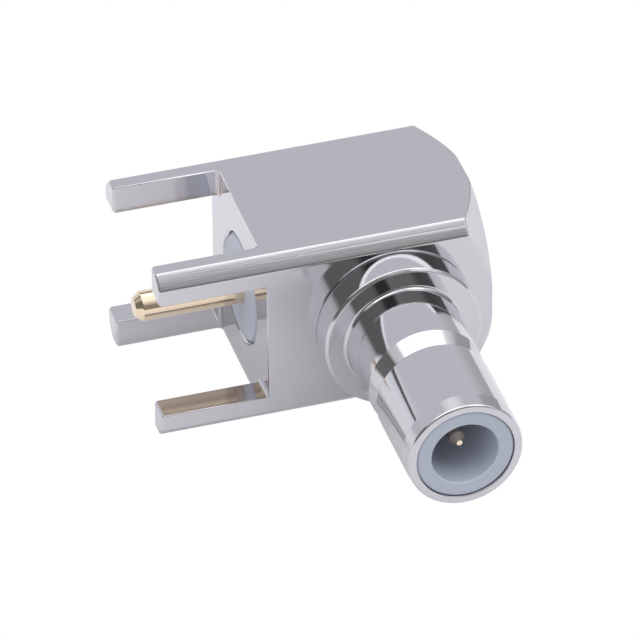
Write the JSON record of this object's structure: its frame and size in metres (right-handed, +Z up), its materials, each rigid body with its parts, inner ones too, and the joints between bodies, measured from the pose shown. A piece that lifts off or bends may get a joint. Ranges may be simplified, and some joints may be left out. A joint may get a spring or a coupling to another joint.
{
  "type": "smb connector",
  "caption": "Right-angle SMB jack for a printed circuit board: square body with legs, round barrel with a detent groove, centre pin and board pin.",
  "frame": {"origin": "board pin's axis where it crosses the face that sits on the circuit board", "axes": "+Z up from the board, legs and board pin towards -Z, mating barrel towards -Y, +X to its side"},
  "size_m": [0.006, 0.0134, 0.0107],
  "materials": {
    "plated_body": "nickel plate over milled brass, satin",
    "plated_barrel": "nickel plate over turned brass, bright",
    "gold_contact": "gold plate, bright",
    "white_insulator": "turned fluoropolymer, smooth and slightly translucent"
  },
  "bodies": {
    "root": {"body_block": "plated_body", "barrel": "plated_barrel", "front_insulator": "white_insulator", "centre_contact": "gold_contact", "board_pin": "gold_contact", "base_bushing": "white_insulator", "rear_cap": "plated_body"}
  },
  "joints": []
}
